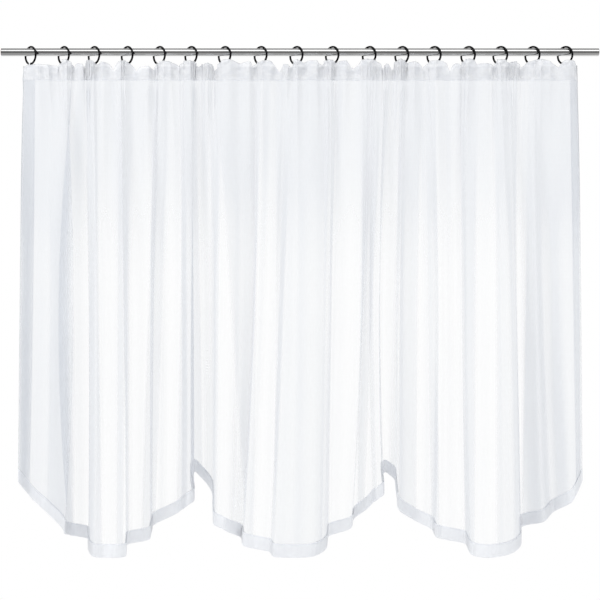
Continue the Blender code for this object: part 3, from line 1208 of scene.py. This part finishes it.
@dataclass
class Panel:
    """The voile panel: its doubled heading, its fall and its side hems."""

    cloth: HangingCloth
    pitch: float = 2.45 * MM
    front: float = 0.3 * MM
    back: float = -0.3 * MM
    hem_back: float = -0.5 * MM
    left_hem: float = 23 * MM
    right_hem: float = 17 * MM
    heading_rows: int = 18
    fall_rows: int = 62
    back_rows: int = 7
    heading_height: float = 38 * MM
    turned_in: float = 40 * MM
    wall_slope: float = 0.55
    wall_bunching: float = 0.5
    heading_bunching: float = 0.85
    gather_bunching: float = 0.74
    gather_start: float = 0.08
    gather_end: float = 0.44

    def columns(self) -> tuple[np.ndarray, np.ndarray]:
        """The stations of the columns, and how far behind the face each one is."""
        across = self.cloth.stations(self.pitch)
        left = np.linspace(self.left_hem, 2 * MM, 7)
        right = np.linspace(self.cloth.width - 2 * MM, self.cloth.width - self.right_hem, 6)
        behind = np.repeat(
            [self.hem_back, 0.0, self.hem_back], [len(left), len(across), len(right)]
        )
        return np.concatenate([left, across, right]), behind

    def heights(self, station: np.ndarray) -> tuple[list[np.ndarray], list[float]]:
        """The rows' heights, from the stitching behind, over the edge and down to the hem.

        Args:
            station: The columns' stations.

        Returns:
            A row of heights for each row, and how far in front of the middle each row is.
        """
        edge, hem, line = self.cloth.edge(station), self.cloth.hem(station), self.cloth.gather_line
        rows = [line + (edge - line) * share for share in np.linspace(0, 0.97, self.back_rows)]
        offsets = [self.back] * self.back_rows
        rows += [edge + (line - edge) * share for share in np.linspace(0, 1, self.heading_rows)]
        offsets += [0.0] + [self.front] * (self.heading_rows - 1)
        shares = np.linspace(0, 1, self.fall_rows + 1)[1:]
        shares = 0.45 * shares**2.2 + 0.55 * shares
        rows += [line + (hem - line) * share for share in shares]
        offsets += [self.front] * self.fall_rows
        return rows, offsets

    def bunching(self, points: np.ndarray, station: np.ndarray, heights: np.ndarray) -> np.ndarray:
        """How bunched the cloth is: more on the walls of its folds, at the gathers and in the hems. It makes the voile
        denser, and its colour darker as painted shade.

        Args:
            points: The points of the grid.
            station: The columns' stations.
            heights: The heights of the grid's points.

        Returns:
            A number from 0 to 1 for each point.
        """
        along = np.gradient(points, axis=1)
        wall = np.abs(along[..., 1]) / np.maximum(np.linalg.norm(along[..., :2], axis=2), 1e-9)
        walls = smooth((wall - self.wall_slope) / (1 - self.wall_slope))
        kernel = np.array([1, 2, 3, 2, 1]) / 9
        walls = np.apply_along_axis(lambda row: np.convolve(row, kernel, mode="same"), 1, walls)
        level = self.cloth.level(heights)
        lowered = (level - self.gather_start) / (self.gather_end - self.gather_start)
        fading = self.gather_bunching * (1 - smooth(lowered))
        gathers = np.where(heights > self.cloth.gather_line, self.heading_bunching, fading)
        bands = self.cloth.bunching(points[..., 0], heights)
        lines = (0.5 + 0.5 * np.sin(math.tau * self.cloth.streaks.turn(station))) ** 7
        soft = 0.5 + 0.5 * np.sin(math.tau * self.cloth.streaks.turn(station) * 1.9)
        streaks = lines * (0.16 + 0.16 * np.exp(-level / 0.4)) + soft * 0.10
        return np.clip(self.wall_bunching * walls + gathers + bands + streaks, 0.0, 1.0)

    def build(self) -> bpy.types.Object:
        """Makes the panel."""
        station, behind = self.columns()
        rows, offsets = self.heights(station)
        points = np.array(
            [self.cloth.layer(station, z, offset + behind) for z, offset in zip(rows, offsets)]
        )
        heights = np.array(rows)
        down = self.cloth.gather_line - heights
        down[: self.back_rows] += 2 * (heights[: self.back_rows] - heights[self.back_rows])
        unfolded = np.concatenate([[0.0], np.cumsum(np.abs(np.diff(station)))])
        flat = np.stack([np.broadcast_to(unfolded, down.shape), down], axis=2)
        bm = draped_grid(points, flat, self.bunching(points, station, heights))
        return finished("voile_panel", bm, VOILE, Slot.VOILE, ["curtain_panel"])


@dataclass
class Tape:
    """The gathering tape sewn behind the heading, puckered by its cords."""

    cloth: HangingCloth
    pitch: float = 1.5 * MM
    offset: float = -1.35 * MM
    thick: float = 0.7 * MM
    below_edge: float = 3.5 * MM
    rows: int = 9
    height: float = 30 * MM
    loop_reach: float = 4 * MM
    cord_depth: float = 2.3 * MM
    cord_pitch: float = 8 * MM

    def puckers(self, station: np.ndarray) -> np.ndarray:
        """How deep the cords' puckers are at each station, 0 to 1: none where a loop is sewn on."""
        x = self.cloth.along_heading(station)
        from_loop = np.abs(x[:, None] - np.array(RING_X)[None, :] * MM).min(axis=1)
        return smooth((from_loop - self.loop_reach) / self.loop_reach)

    def build(self) -> bpy.types.Object:
        """Makes the tape, a closed strip as thick as the real one."""
        station = self.cloth.stations(self.pitch)
        top = np.minimum(self.cloth.tape_top, self.cloth.edge(station) - self.below_edge)
        line = self.cloth.gather_line
        heights = [top + (line - top) * share for share in np.linspace(0, 1, self.rows)]
        drawn = self.puckers(station)
        cords = 0.5 - 0.5 * np.cos(math.tau * station / self.cord_pitch)
        points = []
        for z, share in zip(heights, np.linspace(0, 1, self.rows)):
            inner = min(1.0, 1.6 * math.sin(math.pi * share))
            offset = self.offset - self.cord_depth * cords * inner * drawn
            points.append(self.cloth.layer(station, z, offset, False))
        points = np.array(points)
        flat = np.stack([np.broadcast_to(station, points.shape[:2]), points[..., 2]], axis=2)
        piece = finished("tape_strip", draped_grid(points, flat), TAPE, Slot.TAPE, ["heading_tape"])
        wall = piece.modifiers.new("Thickness", "SOLIDIFY")
        wall.thickness = self.thick
        wall.offset = -1.0
        return piece


@dataclass
class Binding:
    """The satin ribbon folded over the scalloped hem."""

    cloth: HangingCloth
    pitch: float = 3.0 * MM
    width: float = 25 * MM
    offset: float = 1.45 * MM
    fold: float = 2.2 * MM
    side_rows: int = 9
    round_rows: int = 5
    pucker: float = 0.5 * MM
    pucker_pitch: float = 11 * MM
    pucker_beat: float = 83 * MM
    arc_over_width: float = 1.1

    def build(self) -> bpy.types.Object:
        """Makes the ribbon, from its front edge under the hem to its back edge."""
        station = self.cloth.stations(self.pitch)
        hem = self.cloth.hem(station)
        turns = np.linspace(0, math.pi, self.round_rows + 2)[1:-1]
        sides = np.linspace(self.width, 0, self.side_rows)
        heights = [*sides, *(-self.fold * np.sin(turns)), *sides[::-1]]
        front, back = [self.offset] * self.side_rows, [-self.offset] * self.side_rows
        offsets = [*front, *(self.offset * np.cos(turns)), *back]
        beat = np.sin(math.tau * station / self.pucker_beat + 0.7)
        ripple = np.sin(math.tau * station / self.pucker_pitch) * beat
        points = []
        for height, offset in zip(heights, offsets):
            bulge = math.sin(math.pi * min(max(height / self.width, 0.0), 1.0))
            spare = self.pucker * bulge * (0.5 + 0.5 * ripple) * math.copysign(1.0, offset)
            points.append(self.cloth.layer(station, hem + height, offset + spare))
        across = np.linspace(0, 2 * self.width, len(heights))
        flat = np.stack(np.meshgrid(station, across), axis=2)
        bm = draped_grid(np.array(points), flat)
        return finished("satin_binding", bm, SATIN, Slot.SATIN, ["hem_binding"])


@dataclass
class Stitching:
    """Rows of small straight stitches, all of white thread."""

    cloth: HangingCloth
    pitch: float = 4.2 * MM
    share: float = 0.72
    thick: float = 0.45 * MM
    inset: float = 1.6 * MM
    on_face: float = 0.5 * MM
    on_tape: float = -2.4 * MM
    on_binding: float = 1.75 * MM
    above_hem: float = 26 * MM

    def row(self, bm: bmesh.types.BMesh, starts: np.ndarray, ends: np.ndarray) -> None:
        """Adds a stitch from each start to each end."""
        for start, end in zip(starts, ends):
            first, last = Vector(start), Vector(end)
            along = last - first
            turn = along.to_track_quat("Z", "Y").to_matrix().to_4x4()
            bmesh.ops.create_cone(
                bm,
                segments=5,
                cap_ends=True,
                radius1=self.thick / 2,
                radius2=self.thick / 2,
                depth=along.length,
                matrix=Matrix.Translation((first + last) / 2) @ turn,
            )

    def across(
        self, heights: Callable[[np.ndarray], np.ndarray], offset: float
    ) -> bmesh.types.BMesh:
        """Stitches across the whole cloth.

        Args:
            heights: Gives the row's height at each station.
            offset: How far in front of the middle surface the thread lies.

        Returns:
            The stitches, in place.
        """
        bm = bmesh.new()
        begin = np.arange(2 * MM, self.cloth.width - self.pitch, self.pitch)
        ends = begin + self.pitch * self.share
        self.row(
            bm,
            self.cloth.layer(begin, heights(begin), offset),
            self.cloth.layer(ends, heights(ends), offset),
        )
        return bm

    def down(self, station: float, offset: float) -> bmesh.types.BMesh:
        """Stitches down one side hem, at a station of the cloth."""
        bm = bmesh.new()
        hem = float(self.cloth.hem(np.array([station]))[0]) + self.above_hem
        begin = np.arange(self.cloth.gather_line, hem, -self.pitch)
        places = np.full(len(begin), station)
        ends = begin - self.pitch * self.share
        tops = self.cloth.layer(places, begin, offset)
        self.row(bm, tops, self.cloth.layer(places, ends, offset))
        return bm

    def build(
        self, binding_width: float, left_hem: float, right_hem: float
    ) -> list[bpy.types.Object]:
        """Sews the gathers, the binding and the side hems.

        Args:
            binding_width: The height of the binding on one side.
            left_hem: The width of the left side hem.
            right_hem: The width of the right side hem.

        Returns:
            The rows of stitches.
        """
        cloth, inset = self.cloth, self.inset
        line, up = cloth.gather_line, binding_width - inset
        rows = {
            "gather_stitches": self.across(lambda s: np.full(len(s), line), self.on_face),
            "tape_stitches": self.across(
                lambda s: np.full(len(s), line - self.on_tape), self.on_tape
            ),
            "binding_stitches": self.across(lambda s: cloth.hem(s) + up, self.on_binding),
            "left_hem_stitches": self.down(left_hem - inset, self.on_face),
            "right_hem_stitches": self.down(cloth.width - right_hem + inset, self.on_face),
        }
        return [finished(name, bm, THREAD, Slot.VOILE) for name, bm in rows.items()]


@dataclass
class Loops:
    """The model's own tape loops, which stay and get their cloth."""

    def dress(self) -> list[str]:
        """Gives each loop the tape's surface."""
        names = [f"loop_{number:02d}" for number in range(1, len(RING_X) + 1)]
        for name in names:
            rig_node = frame["nodes"][name]
            for material_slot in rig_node.material_slots:
                material_slot.material = TAPE.material()
        return names


# --- The stage ---


class Lamp(NamedTuple):
    """A soft square light that faces the curtain: its place, its side and its power in watts."""

    name: str
    place: tuple[float, float, float]
    size: float
    power: float


LAMPS = (
    Lamp("key", (-2.2, -2.0, 1.3), 1.0, 30.0),
    Lamp("fill", (2.0, -2.4, 0.0), 1.6, 9.0),
    Lamp("back", (0.6, 2.2, 0.9), 1.8, 6.0),
)


@dataclass
class Studio:
    """The floor, the light and the camera."""

    floor_z: float = -1.42
    floor_size: float = 1.7
    camera_place: tuple[float, float, float] = (0.0, -2.95, -0.516)
    lens: float = 85.0
    sensor: float = 36.0
    aim: tuple[float, float, float] = (0.0, 0.0, -0.5)
    surround: float = 0.95

    def floor(self) -> None:
        """Makes the floor."""
        bm = bmesh.new()
        bmesh.ops.create_circle(bm, cap_ends=True, segments=96, radius=self.floor_size)
        bmesh.ops.translate(bm, vec=(0, 0, self.floor_z), verts=bm.verts)
        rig.stage(finished("floor", bm, FLOOR, None))

    def light(self, lamp: Lamp) -> None:
        """Adds one of the lights, which reflections don't show."""
        data = bpy.data.lights.new(lamp.name, "AREA")
        data.size = lamp.size
        data.energy = lamp.power
        data.color = (1.0, 0.99, 0.975)
        item = bpy.data.objects.new(lamp.name, data)
        item.location = lamp.place
        towards = Vector(self.aim) - Vector(lamp.place)
        item.rotation_euler = towards.to_track_quat("-Z", "Y").to_euler()
        item.visible_glossy = False
        bpy.context.scene.collection.objects.link(item)

    def world(self) -> None:
        """White to the camera, even light on the cloth, uneven light in reflections."""
        world = bpy.data.worlds.new("studio")
        bpy.context.scene.world = world
        world.use_nodes = True
        nodes = Nodes(world.node_tree)
        _, y, z = nodes.parts(nodes.place("Generated"))
        softbox = z.ramp(0.36, 0.56) * y.ramp(-0.36, -0.56)
        flag = (1.0 - (z + 0.10).size().ramp(0.14, 0.42)) * y.ramp(0.05, -0.30)
        floor_light = z.ramp(-0.10, -0.45) * y.ramp(-0.10, 0.40)
        mirrored = 0.50 + softbox * 1.80 - flag * 0.40 + floor_light * 0.45
        white = (1.0, 1.0, 1.0, 1.0)
        seen = nodes.add("ShaderNodeBackground", inputs={"Color": white, "Strength": 1.0})
        shiny = nodes.add("ShaderNodeBackground", inputs={"Color": white, "Strength": mirrored})
        cool = (0.97, 0.985, 1.0, 1.0)
        lit = nodes.add("ShaderNodeBackground", inputs={"Color": cool, "Strength": self.surround})
        straight = nodes.add("ShaderNodeLightPath", output="Is Camera Ray")
        glossy = nodes.add("ShaderNodeLightPath", output="Is Glossy Ray")
        unseen = nodes.mixed(glossy, lit, shiny)
        nodes.finish(nodes.mixed(straight, unseen, seen), "ShaderNodeOutputWorld")

    def camera(self) -> None:
        """Adds the camera."""
        data = bpy.data.cameras.new("camera")
        data.lens = self.lens
        data.sensor_width = self.sensor
        item = bpy.data.objects.new("camera", data)
        item.location = self.camera_place
        item.rotation_euler = (math.pi / 2, 0, 0)
        bpy.context.scene.collection.objects.link(item)
        bpy.context.scene.camera = item

    def build(self) -> None:
        """Sets up the whole stage."""
        self.floor()
        for lamp in LAMPS:
            self.light(lamp)
        self.world()
        self.camera()
        bpy.context.scene.view_settings.view_transform = "Standard"


def main() -> None:
    """Builds the curtain on its rod, then the stage."""
    logging.basicConfig(level=logging.INFO, format="%(message)s")
    cloth = HangingCloth()
    Rod().build()
    rings = Rings().build()
    panel = Panel(cloth).build()
    tape = Tape(cloth).build()
    binding = Binding(cloth).build()
    stitches = Stitching(cloth).build(Binding.width, Panel.left_hem, Panel.right_hem)
    loops = Loops().dress()
    ring_names = [ring.name for ring in rings]
    length = cloth.gather_line - cloth.hem_low
    heading = 2 * Panel.heading_height
    hems = Panel.turned_in
    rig.sheet(
        panel,
        flat=(cloth.width + hems, length + heading),
        area=(cloth.width + hems) * (length + heading - cloth.scallop_rise / 3),
        held="gathered",
        rests_on=ring_names[:1],
        with_pieces=[tape, binding, *stitches],
    )
    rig.sheet(tape, flat=(cloth.width, Tape.height), held="gathered", rests_on=[panel])
    ribbon = (cloth.width * Binding.arc_over_width, 2 * Binding.width)
    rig.sheet(binding, flat=ribbon, held="hung", rests_on=[panel])
    LOG.info("loops dressed: %d", len(loops))
    Studio().build()
    boxes = {"cad": CAD_BOX, "visual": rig.bounds()}
    with open(SIZE_FILE, "w") as file:
        json.dump({name: [list(corner) for corner in box] for name, box in boxes.items()}, file)


if __name__ == "__main__":
    main()
